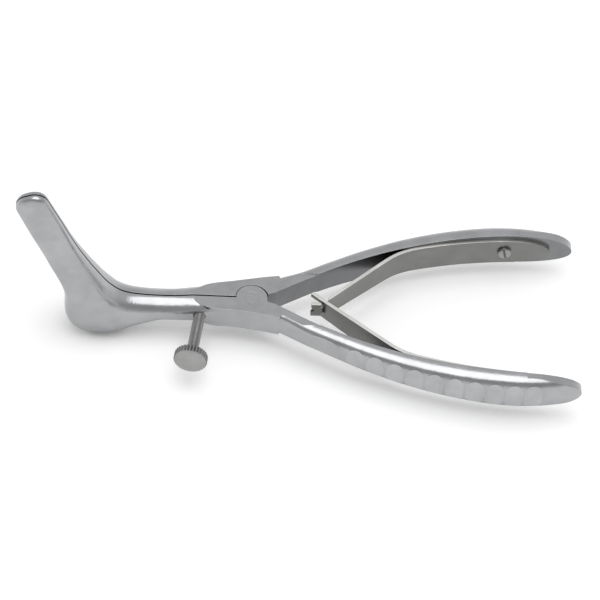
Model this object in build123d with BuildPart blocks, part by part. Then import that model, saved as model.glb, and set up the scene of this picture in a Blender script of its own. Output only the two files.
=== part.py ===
# Nasal speculum with angled blades, a thumb screw stop and a double leaf spring.
#
# Frame, in millimetres: the origin lies on the pivot axis at the flat underside of
# the joint.  +Z runs up the pivot, +X towards the handles, and +Y towards the arm
# without the thumb screw.  The two arms are mirror images in the XZ plane, apart from
# the lap joint, where each carries one ear, and the width of the joint's cheek.

import os
from math import asin, cos, degrees, radians, sin, sqrt, tan

from build123d import *

# Joint
joint_thickness = 6.5
parting_gap = 0.4
ear_radius = 3.9
recess_clearance = 0.14
recess_shift = 0.22
lap_clearance = 0.06
flat_run = 34.0
crotch_start = (3.9, 1.15)
crotch_corner = (6.1, 2.0)
screw_side_cheek = [(-14.4, 1.5), (-11.6, 3.5), (-9.2, 4.2), (-5.6, 4.3), (-0.6, 4.85), (6.9, 6.3)]
plain_side_cheek = [(-14.4, 1.5), (-11.6, 3.5), (-9.2, 4.3), (-5.6, 4.95), (-0.6, 6.0), (6.9, 7.4)]

# Pivot pin, riveted over into a countersink at each end
pin_diameter = 3.0
pin_head_diameter = 3.7
pin_head_height = 0.5
pin_clearance = 0.03

# Shank and blade
shank_height = 6.7
shank_depth = 4.2
shank_top = 2.65
blade_rise = 64.2
blade_width = 8.4
blade_tip_depth = 2.1
blade_length = 19.1
blade_rear = (-44.0, 19.2)
blade_wall = 1.25
tip_rounding = 3.4
tip_thinning = 0.6
mouth_widening = 3.6
mouth_length = 24.0
mouth_squareness = 2.6
heel_depth = 5.9
heel_width = 15.6
heel_bend = (-35.2, 6.0)
heel_direction = -125.5

# Handle
handle_start = (12.9, 6.0)
handle_angle = 30.6
handle_radius = 118.0
handle_end = 82.0
handle_depth = 4.5
handle_half_height = 5.1
handle_squareness = 3.1
handle_tongue_length = 14.0
handle_tongue_half_height = 4.9

# Finger flutes
flute_count = 10
flute_first = 27.0
flute_pitch = 4.8
flute_width = 4.7
flute_sinking = 0.65
facet_place = 19.5
facet_width = 11.0
facet_sinking = 0.5

# Thumb screw
screw_diameter = 2.9
screw_entry = (-12.9, -4.15)
screw_tilt = 9.4
screw_exposed = 12.9
screw_clearance = 0.05
screw_tip_clearance = 0.3
screw_tip_chamfer = 0.4
knob_diameter = 8.4
knob_thickness = 2.2
knob_bevel = (0.45, 1.0)
knurl_count = 32
knurl_groove = 0.32

# Double leaf spring
leaf_thickness = 0.9
leaf_root_width = 8.0
leaf_free_width = 5.7
leaf_lift_off = 41.7
leaf_bend_radius = 20.0
leaf_angle = 40.8
leaf_tail = 76.3
leaf_tail_length = 14.0
leaf_seat_gap = 0.03
head_seat_gap = 0.02
neck_width = 2.0
neck_height = 0.5
neck_reach = 0.9
slot_clearance = 0.25
tongue_drop = 0.7
tongue_reach = 3.3
tongue_width = 4.1
tongue_notch = 0.9
prong_length = 4.0
prong_short_length = 1.7

# Leaf spring screws
spring_screw_x = 64.7
spring_screw_diameter = 2.0
spring_screw_length = 3.0
spring_screw_head = 3.6
spring_screw_head_height = 0.8
spring_screw_head_chamfer = 0.2
spring_screw_clearance = 0.05
spring_screw_slot = 0.55
spring_screw_slot_sinking = 0.4
spring_screw_slot_turn = 14.0

# Spacing of the sections that the blades and handles are lofted through
section_step = 3.6

# Derived places
joint_mid = joint_thickness / 2
gap_half = parting_gap / 2
arc_centre = (
    handle_start[0] + handle_radius * sin(radians(handle_angle)),
    handle_start[1] - handle_radius * cos(radians(handle_angle)),
)


def arc_point(centre, radius, slope):
    """Point on an arc above its centre, where the arc rises at a slope in degrees."""
    return (centre[0] - radius * sin(radians(slope)), centre[1] + radius * cos(radians(slope)))


def face_angle(x):
    """Slope of the handle's inner face at x: a straight run and then one long arc."""
    if x <= handle_start[0]:
        return handle_angle
    return degrees(asin((arc_centre[0] - x) / handle_radius))


def face_point(x, outward=0.0):
    """Point of the handle's inner face at x, moved outward along the face's normal."""
    slope = face_angle(x)
    point = arc_point(arc_centre, handle_radius + outward, slope)
    run = min(0.0, x - handle_start[0])
    return (point[0] + run, point[1] + run * tan(radians(handle_angle)))


def face_plane(x, outward=0.0):
    """Plane square to the handle's run, its x axis outward from the inner face."""
    slope = radians(face_angle(x))
    place = face_point(x, outward)
    return Plane(
        origin=(place[0], place[1], joint_mid),
        x_dir=(-sin(slope), cos(slope), 0),
        z_dir=(cos(slope), sin(slope), 0),
    )


def oval_quarter(half_x, half_y, squareness, quarter, count=6):
    """Points of one quarter of an oval that grows squarer as its exponent rises above two."""
    points = []
    for step in range(count + 1):
        turn = radians(90 * step / count)
        across = half_x * sin(turn) ** (2 / squareness)
        along = half_y * cos(turn) ** (2 / squareness)
        if step == count:
            along = 0.0
        points.append([(across, -along), (across, along), (-across, along),
                       (-across, -along)][quarter])
    return points if quarter in (0, 2) else points[::-1]


def oval_section(plane, half_x, half_y, squareness):
    """Oval face on a plane, drawn as four quarters from the side that is cut away."""
    headings = [(1, 0), (0, 1), (-1, 0), (0, -1), (1, 0)]
    with BuildSketch(plane) as section:
        with BuildLine():
            for quarter in range(4):
                Spline(*oval_quarter(half_x, half_y, squareness, quarter),
                       tangents=headings[quarter:quarter + 2])
        make_face()
    return section.sketch


# Stations of the shank and blade: inner edge (x, height above the joint's middle),
# direction towards the outer edge, width, depth to each side and squareness.
tip_run = (-cos(radians(blade_rise)) * blade_length, sin(radians(blade_rise)) * blade_length)
blade_stations = [
    ((-5.0, 3.05), -90.0, joint_thickness - 0.4, shank_depth - 0.4, 5.0),
    ((-9.5, 3.6), -90.0, joint_thickness + 0.7, shank_depth + 0.05, 3.2),
    ((-13.5, 3.35), -90.0, joint_thickness + 0.4, shank_depth + 0.1, 2.5),
    ((-21.0, shank_top), -90.0, shank_height, shank_depth, 2.0),
    ((-28.0, 2.85), -97.0, shank_height + 3.1, shank_depth + 0.5, 2.2),
    ((-32.3, 3.8), -111.0, 0.92 * heel_width, 0.94 * heel_depth, 2.5),
    (heel_bend, heel_direction, heel_width, heel_depth, 2.8),
    ((-38.2, 9.8), -147.0, blade_width + 1.9, 0.83 * heel_depth, 3.0),
    (blade_rear, -154.5, blade_width, blade_tip_depth + 1.2, 3.3),
    ((blade_rear[0] + 0.6 * tip_run[0], blade_rear[1] + 0.6 * tip_run[1]),
     blade_rise - 220.0, blade_width, blade_tip_depth + 0.3, 3.4),
    ((blade_rear[0] + tip_run[0], blade_rear[1] + tip_run[1]),
     blade_rise - 220.0, blade_width - 0.2, blade_tip_depth, 3.4),
]


# Stations of the handle: x on the inner face, half height, depth and squareness.
handle_stations = [
    (4.0, 0.88 * joint_mid, 0.85 * handle_depth, 6.0),
    (9.0, 1.05 * joint_mid, 0.8 * handle_depth, 4.5),
    (14.0, 0.68 * handle_half_height, 0.77 * handle_depth, 3.6),
    (20.0, 0.71 * handle_half_height, 0.77 * handle_depth, handle_squareness),
    (30.0, 0.78 * handle_half_height, 0.84 * handle_depth, handle_squareness),
    (40.0, 0.86 * handle_half_height, 0.94 * handle_depth, handle_squareness),
    (52.0, 0.95 * handle_half_height, handle_depth, handle_squareness),
    (62.0, handle_half_height, handle_depth, handle_squareness),
    (70.0, 0.97 * handle_half_height, 0.9 * handle_depth, handle_squareness),
    (77.0, 0.9 * handle_half_height, 0.68 * handle_depth, handle_squareness),
    (84.0, 0.85 * handle_half_height, 0.4 * handle_depth, handle_squareness),
]


def slope_at(table, row, column):
    """Slope of one column at a row, level where the column turns back."""
    rises = []
    for near, far in ((row - 1, row), (row, row + 1)):
        if near >= 0 and far < len(table):
            run = table[far][0] - table[near][0]
            rises.append((table[far][column] - table[near][column]) / run)
    if min(rises) < 0 < max(rises):
        return 0.0
    return sum(rises) / len(rises)


def eased(table, place):
    """Row of a table at a place in its first column, with every other column eased."""
    row = max(n for n in range(len(table) - 1) if table[n][0] <= place)
    near, far = table[row], table[row + 1]
    run = far[0] - near[0]
    t = (place - near[0]) / run
    values = [place]
    for column in range(1, len(near)):
        values.append(
            near[column] * (1 - t) ** 2 * (1 + 2 * t)
            + far[column] * t ** 2 * (3 - 2 * t)
            + slope_at(table, row, column) * run * t * (1 - t) ** 2
            - slope_at(table, row + 1, column) * run * t ** 2 * (1 - t))
    return values


def handle_back(x):
    """Depth of the handle from its inner face at x."""
    return eased(handle_stations, x)[2]


def station_plane(edge, direction, reach):
    """Plane across the blade, centred a reach along its direction from the inner edge."""
    run = (cos(radians(direction)), sin(radians(direction)))
    return Plane(
        origin=(edge[0] + reach * run[0], 0, joint_mid + edge[1] + reach * run[1]),
        x_dir=(run[0], 0, run[1]),
        z_dir=(-run[1], 0, run[0]),
    )


def stretched(stations):
    """Stations as plain rows, led by the distance run along the blade's middle."""
    rows = []
    for edge, direction, width, depth, squareness in stations:
        middle = station_plane(edge, direction, width / 2).origin
        run = rows[-1][0] + (middle - before).length if rows else 0.0
        before = middle
        rows.append((run, edge[0], edge[1], direction, width, depth, squareness))
    return rows


def even_sections(stations, wall=0.0):
    """Oval sections at even steps along the stations, thinned by a wall."""
    rows = stretched(stations)
    steps = round(rows[-1][0] / section_step)
    sections = []
    for step in range(steps + 1):
        place = rows[-1][0] * step / steps
        run, edge_x, edge_z, direction, width, depth, squareness = eased(rows, place)
        plane = station_plane((edge_x, edge_z), direction, width / 2)
        sections.append(oval_section(plane, width / 2 - wall, depth - wall, squareness))
    return sections


def tip_sections(count=5):
    """Sections that round the blade's tip over to its end, from the last station on."""
    edge, direction, width, depth, squareness = blade_stations[-1]
    across = station_plane(edge, direction, width / 2)
    sections = []
    for step in range(count):
        turn = radians(86 * step / (count - 1))
        shrink = 1 - cos(turn)
        plane = across.offset(-tip_rounding * sin(turn))
        sections.append(oval_section(
            plane, width / 2 - tip_rounding * shrink, depth * (1 - tip_thinning * shrink),
            squareness))
    return sections


def blade_blank():
    """Both blades and shanks as one closed body, before it is parted."""
    with BuildPart() as blank:
        loft(even_sections(blade_stations))
        loft(tip_sections())
    return blank.part


def blade_channel():
    """Room between the blades: closed at the tip, open through the bottom of the heel."""
    edge, direction, width, depth, squareness = blade_stations[-4]
    fall = (cos(radians(blade_rise)), -sin(radians(blade_rise)))
    mouth = []
    for share, deeper in ((1.0, 1.05), (2 / 3, 1.0), (1 / 3, 0.97)):
        low_edge = (edge[0] + share * mouth_length * fall[0],
                    edge[1] + share * mouth_length * fall[1])
        wider = mouth_widening * (1.5 * share - 0.5)
        mouth.append((low_edge, direction, width + wider, heel_depth * deeper,
                      mouth_squareness))
    with BuildPart() as channel:
        loft(even_sections(mouth + blade_stations[-4:], blade_wall))
    return channel.part


def handle_blank(cheek):
    """Handle before its inner face, end and flutes are cut."""
    root_depth = (cheek[-1][0] - handle_start[0]) * -sin(radians(handle_angle)) + (
        cheek[-1][1] - handle_start[1]) * cos(radians(handle_angle))
    rows = [(x, height, root_depth if x < handle_start[0] else depth, squareness)
            for x, height, depth, squareness in handle_stations]
    steps = round((rows[-1][0] - rows[0][0]) / section_step)
    sections = []
    for step in range(steps + 1):
        place = rows[0][0] + (rows[-1][0] - rows[0][0]) * step / steps
        x, height, depth, squareness = eased(rows, place)
        sections.append(oval_section(face_plane(x), depth, height, squareness))
    with BuildPart() as blank:
        loft(sections)
    return blank.part


def flute_cutter(x, width, sinking):
    """Upright cylinder that grinds one shallow flute across the handle's back."""
    radius = width ** 2 / (8 * sinking) + sinking / 2
    place = face_point(x, handle_back(x) + radius - sinking)
    return Cylinder(radius, 4 * handle_half_height, mode=Mode.PRIVATE).moved(
        Location((place[0], place[1], joint_mid)))


def arm_blank(cheek):
    """One arm on the +Y side, without its ear, recess and screw holes."""
    blade = blade_blank()
    channel = blade_channel()
    handle = handle_blank(cheek)
    end_face = face_point(handle_end)
    far_left = blade_stations[-1][0][0] - blade_length
    far_right = handle_end + handle_tongue_length
    with BuildPart() as arm:
        add(blade)
        add(handle)
        with BuildSketch():
            with BuildLine():
                Spline(*cheek)
                Polyline(
                    cheek[-1], face_point(cheek[-1][0] + 2.0), crotch_corner, crotch_start,
                    (crotch_start[0], 0), (cheek[0][0], 0), cheek[0])
            make_face()
        extrude(amount=joint_thickness)
        for level, side in ((joint_thickness, 1), (0.0, -1)):
            with BuildSketch(Plane.XY.offset(level)):
                Rectangle(flat_run, 4 * shank_depth)
            extrude(amount=side * joint_thickness, mode=Mode.SUBTRACT)
        with BuildSketch():
            with BuildLine():
                Polyline(
                    (far_left, gap_half), (crotch_start[0], gap_half), crotch_start,
                    crotch_corner, handle_start)
                ThreePointArc(
                    handle_start, face_point((handle_start[0] + far_right) / 2),
                    face_point(far_right))
                Polyline(
                    face_point(far_right), (far_right, -handle_radius),
                    (far_left, -handle_radius), (far_left, gap_half))
            make_face()
        extrude(amount=handle_radius, both=True, mode=Mode.SUBTRACT)
        add(channel, mode=Mode.SUBTRACT)
        with BuildSketch(Plane.XZ.offset(-end_face[1])):
            with Locations((handle_end - handle_tongue_length, joint_mid)):
                Rectangle(2 * handle_tongue_length, 4 * handle_half_height,
                          align=(Align.MIN, Align.CENTER))
                Ellipse(handle_tongue_length, handle_tongue_half_height, mode=Mode.SUBTRACT)
        extrude(amount=4 * handle_depth, both=True, mode=Mode.SUBTRACT)
        add(flute_cutter(facet_place, facet_width, facet_sinking), mode=Mode.SUBTRACT)
        for number in range(flute_count):
            add(flute_cutter(flute_first + number * flute_pitch, flute_width, flute_sinking),
                mode=Mode.SUBTRACT)
    return arm.part


def pin_outline(clearance):
    """Half outline of the riveted pin, or of its countersunk hole with a clearance."""
    shank = pin_diameter / 2 + clearance
    head = pin_head_diameter / 2 + clearance
    return [(0, 0), (head, 0), (shank, pin_head_height), (shank, joint_thickness - pin_head_height),
            (head, joint_thickness), (0, joint_thickness)]


def pin_body(clearance):
    """Riveted pin, or the hole that it fills with a clearance."""
    with BuildPart() as body:
        with BuildSketch(Plane.XZ):
            Polygon(*pin_outline(clearance), align=None)
        revolve(axis=Axis.Z)
    return body.part


def screw_plane(x, outward):
    """Plane of a leaf spring screw: its origin on the handle's face, its z axis inward."""
    slope = radians(face_angle(x))
    place = face_point(x, outward)
    return Plane(
        origin=(place[0], place[1], joint_mid),
        x_dir=(cos(slope), sin(slope), 0),
        z_dir=(sin(slope), -cos(slope), 0),
    )


def spring_screw_hole(radius):
    """Blind hole for the leaf spring screw, from the handle's inner face."""
    with BuildPart() as hole:
        with BuildSketch(screw_plane(spring_screw_x, 0)):
            Circle(radius)
        extrude(amount=-spring_screw_length - spring_screw_clearance)
    return hole.part


# Plain side arm: its ear lies in the lower layer of the joint
plain_blank = arm_blank(plain_side_cheek)
pin_hole = pin_body(pin_clearance)
screw_hole = spring_screw_hole(spring_screw_diameter / 2 + spring_screw_clearance)
with BuildPart() as plain_side_arm:
    add(plain_blank)
    recess = (0, 0, joint_mid - lap_clearance / 2)
    with Locations(recess, (recess_shift, 0, recess[2])):
        Cylinder(ear_radius + recess_clearance, joint_thickness,
                 align=(Align.CENTER, Align.CENTER, Align.MIN), mode=Mode.SUBTRACT)
    Cylinder(ear_radius, joint_mid - lap_clearance / 2,
             align=(Align.CENTER, Align.CENTER, Align.MIN))
    add(pin_hole, mode=Mode.SUBTRACT)
    add(screw_hole, mode=Mode.SUBTRACT)

# Screw side arm: its ear lies in the upper layer, and the thumb screw passes its shank
screw_side_blank = arm_blank(screw_side_cheek).mirror(Plane.XZ)
entry = Plane(
    origin=(screw_entry[0], screw_entry[1], joint_mid),
    x_dir=(0, 0, 1),
    z_dir=(-sin(radians(screw_tilt)), -cos(radians(screw_tilt)), 0),
)
with BuildPart() as screw_side_arm:
    add(screw_side_blank)
    with Locations((0, 0, joint_mid + lap_clearance / 2)):
        Cylinder(ear_radius + recess_clearance, joint_thickness,
                 align=(Align.CENTER, Align.CENTER, Align.MAX), mode=Mode.SUBTRACT)
    with Locations((0, 0, joint_mid + lap_clearance / 2)):
        Cylinder(ear_radius, joint_mid - lap_clearance / 2,
                 align=(Align.CENTER, Align.CENTER, Align.MIN))
    add(pin_hole, mode=Mode.SUBTRACT)
    add(screw_hole.mirror(Plane.XZ), mode=Mode.SUBTRACT)
    with BuildSketch(entry):
        Circle(screw_diameter / 2 + screw_clearance)
    extrude(amount=2 * shank_depth, both=True, mode=Mode.SUBTRACT)

# Pivot pin
with BuildPart() as pivot_pin:
    add(pin_body(0))

# Thumb screw, backed out until its tip stands just clear of the plain side shank
screw_reach = (gap_half - screw_entry[1]) / cos(radians(screw_tilt)) - screw_tip_clearance
with BuildPart() as thumb_screw:
    with BuildSketch(entry.offset(-screw_reach)):
        Circle(screw_diameter / 2)
    extrude(amount=screw_reach + screw_exposed + knob_thickness / 2)
    chamfer(thumb_screw.edges().sort_by(Axis.Y)[-1], length=screw_tip_chamfer)
    with BuildSketch(entry.offset(screw_exposed)):
        Circle(knob_diameter / 2)
    extrude(amount=knob_thickness)
    chamfer(thumb_screw.edges().filter_by(GeomType.CIRCLE).sort_by(Axis.Y)[0],
            length=knob_bevel[0], length2=knob_bevel[1])
    with BuildSketch(entry.offset(screw_exposed)):
        with PolarLocations(knob_diameter / 2, knurl_count):
            Rectangle(knurl_groove * sqrt(2), knurl_groove * sqrt(2), rotation=45)
    extrude(amount=knob_thickness, mode=Mode.SUBTRACT)

# Leaf springs
leaf_reach = -leaf_seat_gap - leaf_thickness / 2
lift_slope = face_angle(leaf_lift_off)
lift_point = face_point(leaf_lift_off, leaf_reach)
bend_centre = (
    lift_point[0] + leaf_bend_radius * sin(radians(lift_slope)),
    lift_point[1] - leaf_bend_radius * cos(radians(lift_slope)),
)
leg_start = arc_point(bend_centre, leaf_bend_radius, leaf_angle)
leg_run = (-cos(radians(leaf_angle)), -sin(radians(leaf_angle)))
leg_length = leg_start[1] / sin(radians(leaf_angle))
crossing_x = leg_start[0] + leg_length * leg_run[0]


def leaf_side(offset, past, hooked):
    """Corner points of one face of a leaf, from its tail to past the crossing."""
    tail_slope = face_angle(leaf_tail)
    reach = handle_radius + leaf_reach + offset
    bend = leaf_bend_radius + offset
    tail = arc_point(arc_centre, reach, tail_slope)
    along = arc_point(arc_centre, reach, (tail_slope + lift_slope) / 2)
    lift = arc_point(arc_centre, reach, lift_slope)
    mid_bend = arc_point(bend_centre, bend, (lift_slope + leaf_angle) / 2)
    bend_end = arc_point(bend_centre, bend, leaf_angle)
    if hooked:
        level = offset - tongue_drop
        corner_x = bend_end[0] - (bend_end[1] - level) / tan(radians(leaf_angle))
        ends = [(corner_x, level), (crossing_x - tongue_reach, level)]
    else:
        run = leg_length + past
        ends = [(bend_end[0] + run * leg_run[0], bend_end[1] + run * leg_run[1])]
    return tail, along, lift, mid_bend, bend_end, ends


def leaf_blank(past=0.0, hooked=False):
    """Leaf spring on the +Y side: past the crossing it runs straight on, or hooks level."""
    outer = leaf_side(leaf_thickness / 2, past, hooked)
    inner = leaf_side(-leaf_thickness / 2, past, hooked)
    with BuildPart() as leaf:
        with BuildSketch(Plane.XY.offset(joint_mid - leaf_root_width / 2)):
            with BuildLine():
                for tail, along, lift, mid_bend, bend_end, ends in (outer, inner):
                    ThreePointArc(tail, along, lift)
                    ThreePointArc(lift, mid_bend, bend_end)
                    Polyline(bend_end, *ends)
                Line(outer[0], inner[0])
                Line(outer[-1][-1], inner[-1][-1])
            make_face()
        extrude(amount=leaf_root_width)
        tail_start = leaf_tail - leaf_tail_length
        with BuildSketch(Plane.XZ):
            with BuildLine():
                Polyline(
                    (tail_start, joint_mid + leaf_root_width / 2),
                    (leaf_lift_off, joint_mid + leaf_root_width / 2),
                    (crossing_x, joint_mid + leaf_free_width / 2),
                    (0, joint_mid + leaf_free_width / 2),
                    (0, joint_mid - leaf_free_width / 2),
                    (crossing_x, joint_mid - leaf_free_width / 2),
                    (leaf_lift_off, joint_mid - leaf_root_width / 2),
                    (tail_start, joint_mid - leaf_root_width / 2),
                )
                Spline(
                    (tail_start, joint_mid - leaf_root_width / 2),
                    (leaf_tail, joint_mid),
                    (tail_start, joint_mid + leaf_root_width / 2),
                    tangents=((1, 0), (-1, 0)),
                )
            make_face()
        extrude(amount=-2 * handle_radius, both=True, mode=Mode.INTERSECT)
        with BuildSketch(screw_plane(spring_screw_x, 0)):
            Circle(spring_screw_diameter / 2 + spring_screw_clearance)
        extrude(amount=4 * leaf_thickness, mode=Mode.SUBTRACT)
    return leaf.part


# Plain side leaf: a neck in the other leaf's slot, and a notched tee that holds it there
plain_leaf_blank = leaf_blank(hooked=True)
neck_top = neck_height + neck_width / 2
neck_bottom = neck_height - neck_width / 2
with BuildPart() as plain_side_leaf_spring:
    add(plain_leaf_blank)
    with BuildSketch(Plane.XZ):
        for level, half in ((neck_top, Align.MIN), (neck_bottom, Align.MAX)):
            with Locations((crossing_x, joint_mid + level)):
                Rectangle(2 * neck_reach, leaf_free_width, align=(Align.CENTER, half))
        for level, half in ((neck_height + tongue_width / 2, Align.MIN),
                            (neck_height - tongue_width / 2, Align.MAX)):
            with Locations((crossing_x, joint_mid + level)):
                Rectangle(2 * tongue_reach, leaf_free_width, align=(Align.MAX, half))
        with Locations((crossing_x - tongue_reach, joint_mid + neck_height)):
            Rectangle(sqrt(2) * tongue_notch, sqrt(2) * tongue_notch, rotation=45)
    extrude(amount=3 * leaf_thickness, both=True, mode=Mode.SUBTRACT)

# Screw side leaf: a slot open at its end, between a long upper and a short lower prong
screw_leaf_blank = leaf_blank(prong_length).mirror(Plane.XZ)
fork_plane = Plane(
    origin=(crossing_x, 0, joint_mid),
    x_dir=(leg_run[0], -leg_run[1], 0),
    z_dir=(-leg_run[1], -leg_run[0], 0),
)
with BuildPart() as screw_side_leaf_spring:
    add(screw_leaf_blank)
    with BuildSketch(fork_plane):
        with Locations((-neck_reach, neck_height)):
            Rectangle(2 * prong_length, neck_width + 2 * slot_clearance,
                      align=(Align.MIN, Align.CENTER))
        with Locations((prong_short_length, neck_height)):
            Rectangle(prong_length, leaf_free_width, align=(Align.MIN, Align.MAX))
    extrude(amount=leaf_thickness, both=True, mode=Mode.SUBTRACT)


# Leaf spring screws, cheese headed
def spring_screw():
    """Leaf spring screw on the +Y side."""
    head_seat = leaf_seat_gap + leaf_thickness + head_seat_gap
    with BuildPart() as screw:
        with BuildSketch(screw_plane(spring_screw_x, 0).offset(head_seat)):
            Circle(spring_screw_head / 2)
        extrude(amount=spring_screw_head_height)
        chamfer(screw.edges().filter_by(GeomType.CIRCLE).sort_by(Axis.Y)[0],
                length=spring_screw_head_chamfer)
        with BuildSketch(screw_plane(spring_screw_x, 0).offset(
                head_seat + spring_screw_head_height - spring_screw_slot_sinking)):
            Rectangle(spring_screw_slot, 2 * spring_screw_head, rotation=spring_screw_slot_turn)
        extrude(amount=2 * spring_screw_slot_sinking, mode=Mode.SUBTRACT)
        with BuildSketch(screw_plane(spring_screw_x, 0).offset(head_seat)):
            Circle(spring_screw_diameter / 2)
        extrude(amount=-head_seat - spring_screw_length)
    return screw.part


screw_blank = spring_screw()
with BuildPart() as plain_side_spring_screw:
    add(screw_blank)
with BuildPart() as screw_side_spring_screw:
    add(screw_blank.mirror(Plane.XZ))

# Written pieces
pieces = {
    "screw_side_arm": screw_side_arm,
    "plain_side_arm": plain_side_arm,
    "pivot_pin": pivot_pin,
    "thumb_screw": thumb_screw,
    "screw_side_leaf_spring": screw_side_leaf_spring,
    "plain_side_leaf_spring": plain_side_leaf_spring,
    "screw_side_spring_screw": screw_side_spring_screw,
    "plain_side_spring_screw": plain_side_spring_screw,
}
os.makedirs("parts", exist_ok=True)
for piece_name, piece in pieces.items():
    piece.part.label = piece_name
    export_step(piece.part, f"parts/{piece_name}.step")
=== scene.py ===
"""Looks of the nasal speculum: satin steel, bending leaf springs, a threaded thumb screw."""

from math import asin, cos, pi, radians, sin

import bmesh
import bpy
from mathutils import Matrix, Vector

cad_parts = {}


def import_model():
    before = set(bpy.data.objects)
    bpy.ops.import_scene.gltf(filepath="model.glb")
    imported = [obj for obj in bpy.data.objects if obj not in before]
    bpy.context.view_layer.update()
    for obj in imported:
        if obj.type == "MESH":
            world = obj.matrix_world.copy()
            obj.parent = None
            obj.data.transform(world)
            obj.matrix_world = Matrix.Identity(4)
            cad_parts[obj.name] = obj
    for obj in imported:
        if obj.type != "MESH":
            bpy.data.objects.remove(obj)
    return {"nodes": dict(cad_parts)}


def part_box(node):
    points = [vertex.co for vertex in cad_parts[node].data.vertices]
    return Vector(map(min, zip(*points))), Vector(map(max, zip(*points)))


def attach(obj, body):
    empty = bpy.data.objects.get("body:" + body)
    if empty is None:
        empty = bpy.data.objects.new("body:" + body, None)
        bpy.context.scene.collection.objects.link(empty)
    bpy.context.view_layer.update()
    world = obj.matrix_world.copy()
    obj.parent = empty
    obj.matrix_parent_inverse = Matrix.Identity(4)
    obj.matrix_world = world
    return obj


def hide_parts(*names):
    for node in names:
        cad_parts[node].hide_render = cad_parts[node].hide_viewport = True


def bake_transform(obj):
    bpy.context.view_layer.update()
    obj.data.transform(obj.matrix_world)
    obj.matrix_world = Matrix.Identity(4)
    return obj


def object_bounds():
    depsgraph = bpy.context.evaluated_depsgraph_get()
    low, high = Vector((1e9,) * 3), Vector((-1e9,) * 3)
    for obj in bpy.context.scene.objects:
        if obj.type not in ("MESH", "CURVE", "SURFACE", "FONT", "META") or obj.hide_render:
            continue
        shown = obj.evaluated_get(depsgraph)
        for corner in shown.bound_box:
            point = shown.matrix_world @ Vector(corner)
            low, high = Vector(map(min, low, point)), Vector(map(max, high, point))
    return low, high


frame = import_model()
cad_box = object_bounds()
nodes = frame["nodes"]
MM = 0.001
UP = Vector((0, 0, 1))

# Camera: axes of the photograph's view, fitted to the joint, the knob and the ends
VIEW_RIGHT = Vector((0.9963, -0.0187, 0.0843))
VIEW_UP = Vector((-0.0400, 0.7640, 0.6440))
JOINT_PIXEL = (250.9, 305.6)
JOINT_MID = Vector((0, 0, 3.25 * MM))
PIXELS_PER_MM = 4.0
IMAGE_SIZE = 600
CAMERA_DISTANCE = 1.2
CAMERA_CLIP = (0.01, 20.0)
SENSOR = 36.0

# Lamp, a wide disc above the joint
LAMP_PLACE = Vector((0.01, -0.02, 0.85))
LAMP_TARGET = Vector((0.01, 0.0, 0.01))
LAMP_WIDTH = 0.8
LAMP_POWER = 3.3

# Surround: white up to the first height, and above the second these tones, front to back
SKY_HEIGHTS = (0.08, 0.35)
SKY_DEPTHS = (-0.6, 0.2)
FRONT_TONE = 0.5
BACK_TONE = 0.8

# Floor
FLOOR_REACH = 3.0
FLOOR_COLOUR = (0.95, 0.95, 0.95, 1)
FLOOR_ROUGHNESS = 0.9
FLOOR_LIFT = 0.12

# Steel: cloudy tone, streaks that vary the roughness, softened edges
CLOUD_SCALE = 0.16
NOISE_SPAN = (0.3, 0.7)
CLOUD_TONES = (0.9, 1.08)
GLOSS_FACTORS = (0.95, 1.06)
BUMP_STRENGTH = 0.05
BUMP_HEIGHT = 0.02 * MM
EDGE_ROUNDING = 0.16 * MM
EDGE_SAMPLES = 6

# Tones for the painted shade on faces that turn inward, and for the painted highlight on faces on
# top
INNER_SHADE_SPAN = (0.3, 0.7)
INNER_SHADE_TONE = 0.58
TOP_HIGHLIGHT_SPAN = (0.5, 0.9)
TOP_HIGHLIGHT_TONE = 3.3

# Mesh clean-up
SHARP_ANGLE = radians(28)
MERGE_DISTANCE = 1e-7

# Handles: the arc of their inner faces, and the flutes across their backs
HANDLE_START = Vector((12.9, 6.0, 3.25)) * MM
HANDLE_ANGLE = radians(30.6)
HANDLE_RADIUS = 118.0 * MM
FLUTE_COUNT = 10
FLUTE_FIRST = 27.0 * MM
FLUTE_PITCH = 4.8 * MM
FLUTE_RADIUS = 4.57 * MM
FLUTE_SLACK = 0.08 * MM
FLUTE_SIGHT = 20 * MM

# Joint and parting faces, which get painted shade; the direction of an upright face rises by less
# than UPRIGHT
EAR_RECESS = (3.8 * MM, 4.5 * MM)
PARTING_REACH = 0.35 * MM
PARTING_END = 2.0 * MM
UPRIGHT = 0.3

# Spring screws, and the slot in their heads that gets painted shade
SPRING_SCREW_X = 64.7 * MM
SLOT_REACH = 1.7 * MM
SLOT_DEPTHS = (0.02 * MM, 0.5 * MM)

# Leaf springs
LEAF_SLICES = 60

# Thumb screw: its axis runs from the entry towards the head
SCREW_ENTRY = Vector((-12.9, -4.15, 3.25)) * MM
SCREW_TILT = radians(9.4)
SCREW_AXIS = Vector((-sin(SCREW_TILT), -cos(SCREW_TILT), 0))
SCREW_HEAD_AT = 12.9 * MM
SCREW_RADIUS = 1.45 * MM
SCREW_POINT = 0.4 * MM
THREAD_PITCH = 0.5 * MM
THREAD_DEPTH = 0.27 * MM
THREAD_RUN_OUT = 2 * THREAD_PITCH
THREAD_ROWS = 6
THREAD_SIDES = 40
# Knurl's grooves, which get painted shade
KNURL_RADIUS = (3.86 * MM, 4.12 * MM)
SEAM = 0.01 * MM


def set_inputs(node, **values):
    """Sets the unlinked inputs of a shader node by name."""
    for name, value in values.items():
        node.inputs[name.replace("_", " ")].default_value = value


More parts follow.
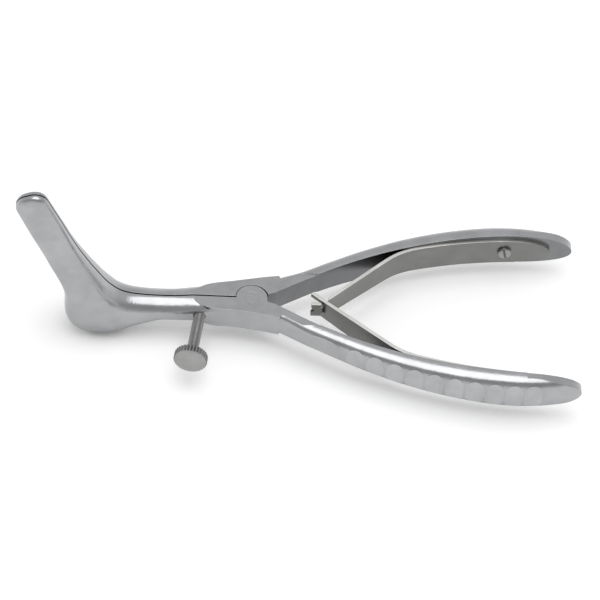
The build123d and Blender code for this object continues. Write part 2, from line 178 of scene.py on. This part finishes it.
def camera():
    """Camera at the photograph's angle, on a long lens."""
    right = VIEW_RIGHT.normalized()
    up = (VIEW_UP - right * VIEW_UP.dot(right)).normalized()
    back = right.cross(up)
    half = IMAGE_SIZE / 2
    target = (
        JOINT_MID
        + right * (half - JOINT_PIXEL[0]) / PIXELS_PER_MM * MM
        + up * (JOINT_PIXEL[1] - half) / PIXELS_PER_MM * MM
    )
    data = bpy.data.cameras.new("camera")
    data.sensor_width = SENSOR
    data.lens = SENSOR * CAMERA_DISTANCE / (IMAGE_SIZE / PIXELS_PER_MM * MM)
    data.clip_start, data.clip_end = CAMERA_CLIP
    cam = bpy.data.objects.new("camera", data)
    rotation = Matrix((right, up, back)).transposed().to_4x4()
    cam.matrix_world = Matrix.Translation(target + back * CAMERA_DISTANCE) @ rotation
    bpy.context.scene.collection.objects.link(cam)
    bpy.context.scene.camera = cam


def area_light():
    """Soft round studio lamp."""
    data = bpy.data.lights.new("top_softbox", "AREA")
    data.shape = "ELLIPSE"
    data.size = LAMP_WIDTH
    data.size_y = LAMP_WIDTH
    data.energy = LAMP_POWER
    lamp = bpy.data.objects.new("top_softbox", data)
    lamp.location = LAMP_PLACE
    lamp.rotation_mode = "QUATERNION"
    lamp.rotation_quaternion = (LAMP_TARGET - LAMP_PLACE).to_track_quat("-Z", "Y")
    bpy.context.scene.collection.objects.link(lamp)


def seen_ray(tree):
    """One for camera, glossy and transmission rays, zero for the rest."""
    path = tree.nodes.new("ShaderNodeLightPath")
    seen = path.outputs["Is Camera Ray"]
    for kind in ("Is Glossy Ray", "Is Transmission Ray"):
        either = tree.nodes.new("ShaderNodeMath")
        either.operation = "ADD"
        either.use_clamp = True
        tree.links.new(seen, either.inputs[0])
        tree.links.new(path.outputs[kind], either.inputs[1])
        seen = either.outputs[0]
    return seen


def world():
    """Even studio surround, white at the horizon and greyer above, most of all in front."""
    scene_world = bpy.data.worlds.new("studio")
    bpy.context.scene.world = scene_world
    scene_world.use_nodes = True
    tree = scene_world.node_tree
    surround = tree.nodes["Background"]
    set_inputs(surround, Color=(1, 1, 1, 1))
    place = tree.nodes.new("ShaderNodeTexCoord")
    parts = tree.nodes.new("ShaderNodeSeparateXYZ")
    height = tree.nodes.new("ShaderNodeMapRange")
    set_inputs(height, From_Min=SKY_HEIGHTS[0], From_Max=SKY_HEIGHTS[1])
    depth = tree.nodes.new("ShaderNodeMapRange")
    set_inputs(depth, From_Min=SKY_DEPTHS[0], From_Max=SKY_DEPTHS[1])
    set_inputs(depth, To_Min=FRONT_TONE, To_Max=BACK_TONE)
    above = tree.nodes.new("ShaderNodeMix")
    set_inputs(above, A=1.0)
    tree.links.new(place.outputs["Generated"], parts.inputs[0])
    tree.links.new(parts.outputs["Z"], height.inputs["Value"])
    tree.links.new(parts.outputs["Y"], depth.inputs["Value"])
    tree.links.new(height.outputs["Result"], above.inputs["Factor"])
    tree.links.new(depth.outputs["Result"], above.inputs["B"])
    tree.links.new(above.outputs["Result"], surround.inputs["Strength"])


def floor():
    """Pale floor under the heels, white to the camera outside the shadow."""
    low = cad_box[0].z
    corners = [
        (-FLOOR_REACH, -FLOOR_REACH, low),
        (FLOOR_REACH, -FLOOR_REACH, low),
        (FLOOR_REACH, FLOOR_REACH, low),
        (-FLOOR_REACH, FLOOR_REACH, low),
    ]
    mesh = bpy.data.meshes.new("floor")
    mesh.from_pydata(corners, [], [(0, 1, 2, 3)])
    obj = bpy.data.objects.new("floor", mesh)
    bpy.context.scene.collection.objects.link(obj)
    material = bpy.data.materials.new("floor_paper")
    material.use_nodes = True
    tree = material.node_tree
    shader = tree.nodes["Principled BSDF"]
    set_inputs(shader, Base_Color=FLOOR_COLOUR, Roughness=FLOOR_ROUGHNESS)
    set_inputs(shader, Specular_IOR_Level=0.0, Emission_Color=(1, 1, 1, 1))
    lift = tree.nodes.new("ShaderNodeMath")
    lift.operation = "MULTIPLY"
    lift.inputs[1].default_value = FLOOR_LIFT
    tree.links.new(seen_ray(tree), lift.inputs[0])
    tree.links.new(lift.outputs[0], shader.inputs["Emission Strength"])
    mesh.materials.append(material)


def toned(tree, normal, colour, axis, span, tone):
    """Colour times a tone, which comes in over a span of the surface's direction on one axis:
    painted light or shade by facing.
    """
    parts = tree.nodes.new("ShaderNodeSeparateXYZ")
    tree.links.new(normal, parts.inputs[0])
    facing = tree.nodes.new("ShaderNodeMapRange")
    set_inputs(facing, From_Min=span[0], From_Max=span[1], To_Min=1.0, To_Max=tone)
    tree.links.new(parts.outputs[axis], facing.inputs["Value"])
    scaled = tree.nodes.new("ShaderNodeVectorMath")
    scaled.operation = "SCALE"
    tree.links.new(colour, scaled.inputs[0])
    tree.links.new(facing.outputs["Result"], scaled.inputs["Scale"])
    return scaled.outputs[0]


def steel(name, colour, roughness, grain, streak=(1.0, 1.0, 1.0), inner_shade_side=0, top_highlight=False):
    """Satin steel. The inner shade side is the sign of the Y direction whose faces get painted
    shade, if any, and the top highlight paints a highlight on faces that look up.
    """
    material = bpy.data.materials.new(name)
    material.use_nodes = True
    tree = material.node_tree
    shader = tree.nodes["Principled BSDF"]
    set_inputs(shader, Metallic=1.0)

    # Noise in millimetres: clouds for the tone, streaks for the roughness and the bump
    place = tree.nodes.new("ShaderNodeTexCoord")
    scale = tree.nodes.new("ShaderNodeMapping")
    set_inputs(scale, Scale=(1 / MM, 1 / MM, 1 / MM))
    tree.links.new(place.outputs["Object"], scale.inputs["Vector"])
    stretch = tree.nodes.new("ShaderNodeMapping")
    set_inputs(stretch, Scale=streak)
    tree.links.new(scale.outputs[0], stretch.inputs["Vector"])
    cloud = tree.nodes.new("ShaderNodeTexNoise")
    set_inputs(cloud, Scale=CLOUD_SCALE, Detail=4.0, Roughness=0.6)
    tree.links.new(scale.outputs[0], cloud.inputs["Vector"])
    lines = tree.nodes.new("ShaderNodeTexNoise")
    set_inputs(lines, Scale=grain, Detail=6.0, Roughness=0.65)
    tree.links.new(stretch.outputs[0], lines.inputs["Vector"])

    # Tone
    ramp = tree.nodes.new("ShaderNodeValToRGB")
    for stop, position, factor in zip(ramp.color_ramp.elements, NOISE_SPAN, CLOUD_TONES):
        stop.position = position
        stop.color = (*[channel * factor for channel in colour], 1)
    tree.links.new(cloud.outputs["Fac"], ramp.inputs["Fac"])
    paint = ramp.outputs["Color"]
    normal = place.outputs["Normal"]
    # Painted shade on faces that turn inward, painted highlight on faces that look up
    if inner_shade_side:
        span = (INNER_SHADE_SPAN[0] * inner_shade_side, INNER_SHADE_SPAN[1] * inner_shade_side)
        paint = toned(tree, normal, paint, "Y", span, INNER_SHADE_TONE)
    if top_highlight:
        paint = toned(tree, normal, paint, "Z", TOP_HIGHLIGHT_SPAN, TOP_HIGHLIGHT_TONE)
    tree.links.new(paint, shader.inputs["Base Color"])

    # Roughness
    gloss = tree.nodes.new("ShaderNodeMapRange")
    set_inputs(gloss, From_Min=NOISE_SPAN[0], From_Max=NOISE_SPAN[1])
    set_inputs(gloss, To_Min=roughness * GLOSS_FACTORS[0], To_Max=roughness * GLOSS_FACTORS[1])
    tree.links.new(lines.outputs["Fac"], gloss.inputs["Value"])
    tree.links.new(gloss.outputs["Result"], shader.inputs["Roughness"])

    # Softened edges under a slight bump
    edges = tree.nodes.new("ShaderNodeBevel")
    edges.samples = EDGE_SAMPLES
    set_inputs(edges, Radius=EDGE_ROUNDING)
    bump = tree.nodes.new("ShaderNodeBump")
    set_inputs(bump, Strength=BUMP_STRENGTH, Distance=BUMP_HEIGHT)
    tree.links.new(edges.outputs[0], bump.inputs["Normal"])
    tree.links.new(lines.outputs["Fac"], bump.inputs["Height"])
    tree.links.new(bump.outputs["Normal"], shader.inputs["Normal"])
    return material


def dress(obj, material):
    """Gives an object one material all over."""
    obj.data.materials.clear()
    obj.data.materials.append(material)
    for face in obj.data.polygons:
        face.material_index = 0


def inlay(obj, material, chosen):
    """Gives one more material to the faces that pass a test."""
    slot = len(obj.data.materials)
    obj.data.materials.append(material)
    for face in obj.data.polygons:
        if chosen(face):
            face.material_index = slot


def corners_of(obj, face):
    """Corner points of a face."""
    return [obj.data.vertices[index].co for index in face.vertices]


def handle_outward(x, side):
    """Point of the handle's inner face at x and its outward direction, on one side."""
    centre = HANDLE_START + HANDLE_RADIUS * Vector((sin(HANDLE_ANGLE), -cos(HANDLE_ANGLE), 0))
    slope = asin((centre.x - x) / HANDLE_RADIUS)
    outward = Vector((-sin(slope), cos(slope), 0))
    point = centre + HANDLE_RADIUS * outward
    return Vector((point.x, side * point.y, point.z)), Vector((outward.x, side * outward.y, 0))


def flute_finish_and_sheen(node, material, side):
    """Gives the flutes across the handle's back their own cross-ground finish, rougher and
    cross-streaked, with a lighter tone that is a painted sheen.
    """
    obj = nodes[node]
    axes = []
    for number in range(FLUTE_COUNT):
        point, outward = handle_outward(FLUTE_FIRST + number * FLUTE_PITCH, side)
        bottom = obj.ray_cast(point + FLUTE_SIGHT * outward, -outward)[1]
        axes.append(bottom + FLUTE_RADIUS * outward)

    def on_flute(face):
        corners = corners_of(obj, face)
        return any(
            all(abs((corner - axis).xy.length - FLUTE_RADIUS) < FLUTE_SLACK for corner in corners)
            for axis in axes
        )

    inlay(obj, material, on_flute)


def paint_slot_shade(node, material, side):
    """Paints shade into the driver slot of a spring screw."""
    obj = nodes[node]
    point, outward = handle_outward(SPRING_SCREW_X, side)
    top = max(-(vert.co - point).dot(outward) for vert in obj.data.vertices)

    def in_slot(face):
        away = face.center - point
        sunk = top + away.dot(outward)
        aside = away - outward * away.dot(outward)
        return SLOT_DEPTHS[0] < sunk < SLOT_DEPTHS[1] and aside.length < SLOT_REACH

    inlay(obj, material, in_slot)


def paint_seam_shade(node, material):
    """Paints shade on the parting faces and on the wall round the joint's ear, which sit in the
    gaps.
    """
    obj = nodes[node]

    def in_seam(face):
        corners = corners_of(obj, face)
        parting = face.center.x < PARTING_END and all(
            abs(corner.y) < PARTING_REACH for corner in corners
        )
        round_ear = face.center.z > JOINT_MID.z and all(
            EAR_RECESS[0] < corner.xy.length < EAR_RECESS[1] for corner in corners
        )
        return abs(face.normal.z) < UPRIGHT and (parting or round_ear)

    inlay(obj, material, in_seam)


def along_screw(point):
    """How far a point lies along the thumb screw's axis, from the entry."""
    return (point - SCREW_ENTRY).dot(SCREW_AXIS)


def off_screw(point):
    """How far a point lies from the thumb screw's axis."""
    return (point - SCREW_ENTRY - SCREW_AXIS * along_screw(point)).length


def paint_screw_shade(obj, thread, knurl):
    """Paints shade on the thread and in the knurl's grooves of the thumb screw."""

    def on_thread(face):
        return along_screw(face.center) < SCREW_HEAD_AT and off_screw(face.center) < SCREW_RADIUS

    def in_knurl(face):
        return KNURL_RADIUS[0] < off_screw(face.center) < KNURL_RADIUS[1] and all(
            off_screw(corner) > KNURL_RADIUS[0] - SEAM for corner in corners_of(obj, face)
        )

    inlay(obj, thread, on_thread)
    inlay(obj, knurl, in_knurl)


def clean_normals(work, mesh):
    """Writes a mesh back with smooth faces and sharp edges, and with no normals of its own."""
    for edge in work.edges:
        edge.smooth = len(edge.link_faces) == 2 and edge.calc_face_angle() < SHARP_ANGLE
    for face in work.faces:
        face.smooth = True
    work.to_mesh(mesh)
    work.free()
    if "custom_normal" in mesh.attributes:
        mesh.attributes.remove(mesh.attributes["custom_normal"])


def thread_ring(work, place, tip_at):
    """Ring of corner points round the thumb screw's shank, at one place along it."""
    across = SCREW_AXIS.cross(UP)
    past_tip = place - tip_at
    depth = THREAD_DEPTH * min(
        1.0, past_tip / THREAD_PITCH, (SCREW_HEAD_AT - place) / THREAD_RUN_OUT
    )
    point = max(0.0, SCREW_POINT - past_tip)
    ring = []
    for step in range(THREAD_SIDES):
        angle = 2 * pi * step / THREAD_SIDES
        phase = (place / THREAD_PITCH + step / THREAD_SIDES) % 1.0
        radius = SCREW_RADIUS - max(depth * abs(2 * phase - 1), point)
        spoke = UP * cos(angle) + across * sin(angle)
        ring.append(work.verts.new(SCREW_ENTRY + SCREW_AXIS * place + spoke * radius))
    return ring


def threaded_screw(node):
    """Copy of the thumb screw with a fine thread cut along its shank."""
    obj = bpy.data.objects.new(node + "_threaded", nodes[node].data.copy())
    bpy.context.scene.collection.objects.link(obj)
    work = bmesh.new()
    work.from_mesh(obj.data)
    bmesh.ops.remove_doubles(work, verts=work.verts[:], dist=MERGE_DISTANCE)
    tip_at = min(along_screw(vert.co) for vert in work.verts)
    on_shank = {
        vert
        for vert in work.verts
        if along_screw(vert.co) < SCREW_HEAD_AT + SEAM and off_screw(vert.co) < SCREW_RADIUS + SEAM
    }
    shank = [face for face in work.faces if on_shank.issuperset(face.verts)]
    bmesh.ops.delete(work, geom=shank, context="FACES")
    length = SCREW_HEAD_AT - tip_at
    count = round(length / THREAD_PITCH * THREAD_ROWS)
    rings = [thread_ring(work, tip_at + length * row / count, tip_at) for row in range(count + 1)]
    for low, high in zip(rings, rings[1:]):
        for step in range(THREAD_SIDES):
            following = (step + 1) % THREAD_SIDES
            work.faces.new((low[step], low[following], high[following], high[step]))
    work.faces.new(rings[0][::-1])
    bmesh.ops.recalc_face_normals(work, faces=work.faces[:])
    clean_normals(work, obj.data)
    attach(obj, "stop_screw")
    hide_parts(node)
    return obj


def bending_leaf(node):
    """Finely cut copy of a leaf spring."""
    mesh = nodes[node].data.copy()
    obj = bpy.data.objects.new(node + "_flexing", mesh)
    bpy.context.scene.collection.objects.link(obj)
    low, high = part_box(node)
    work = bmesh.new()
    work.from_mesh(mesh)
    bmesh.ops.remove_doubles(work, verts=work.verts[:], dist=MERGE_DISTANCE)
    for step in range(1, LEAF_SLICES):
        x = low.x + (high.x - low.x) * step / LEAF_SLICES
        geometry = work.verts[:] + work.edges[:] + work.faces[:]
        bmesh.ops.bisect_plane(work, geom=geometry, plane_co=(x, 0, 0), plane_no=(1, 0, 0))
    clean_normals(work, mesh)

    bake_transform(obj)
    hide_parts(node)
    return obj


camera()
world()
floor()
area_light()

# Finishes: the streaks are long where their scale is small
arm_colour = (0.385, 0.39, 0.4)
long_streak = (0.12, 1.0, 1.0)
# Arm steels, with painted shade on the inner faces
plain_steel = steel(
    "arm_steel", arm_colour, roughness=0.26, grain=0.9, streak=long_streak, inner_shade_side=-1
)
screwed_steel = steel(
    "arm_steel_near", arm_colour, roughness=0.26, grain=0.9, streak=long_streak, inner_shade_side=1
)
# Flutes: rougher and cross-streaked, with a lighter tone that is a painted sheen
flute_sheen_steel = steel(
    "flute_sheen_steel", (0.445, 0.45, 0.46), roughness=0.33, grain=1.6, streak=(1.0, 1.0, 0.15)
)
pin_steel = steel("pin_steel", (0.388, 0.393, 0.402), roughness=0.265, grain=1.2)
# Painted shade for the parting faces and the ear's wall
seam_shade_steel = steel("seam_shade_steel", (0.13, 0.13, 0.135), roughness=0.4, grain=1.2)
# Leaf springs, with a painted highlight on faces that look up
spring_steel = steel(
    "spring_steel",
    (0.21, 0.209, 0.202),
    roughness=0.3,
    grain=1.2,
    streak=(0.15, 1.0, 1.0),
    top_highlight=True,
)
screw_steel = steel("screw_steel", (0.32, 0.32, 0.317), roughness=0.3, grain=1.6)
# Painted shade on the thread
thread_shade_steel = steel("thread_shade_steel", (0.28, 0.28, 0.277), roughness=0.3, grain=1.6)
# Painted shade in the knurl's grooves
knurl_groove_shade_steel = steel("knurl_groove_shade_steel", (0.21, 0.21, 0.208), roughness=0.3, grain=1.6)
# Painted shade for the spring screws' slots
slot_shade_steel = steel("slot_shade_steel", (0.13, 0.13, 0.128), roughness=0.35, grain=1.6)

# Pieces
dress(nodes["plain_side_arm"], plain_steel)
dress(nodes["screw_side_arm"], screwed_steel)
dress(nodes["pivot_pin"], pin_steel)
for arm, side in (("screw_side", -1), ("plain_side", 1)):
    flute_finish_and_sheen(arm + "_arm", flute_sheen_steel, side)
    paint_seam_shade(arm + "_arm", seam_shade_steel)
    dress(nodes[arm + "_spring_screw"], screw_steel)
    paint_slot_shade(arm + "_spring_screw", slot_shade_steel, side)
thumb_screw = threaded_screw("thumb_screw")
dress(thumb_screw, screw_steel)
paint_screw_shade(thumb_screw, thread_shade_steel, knurl_groove_shade_steel)
dress(bending_leaf("plain_side_leaf_spring"), spring_steel)
dress(bending_leaf("screw_side_leaf_spring"), spring_steel)

bpy.context.scene.view_settings.view_transform = "Standard"
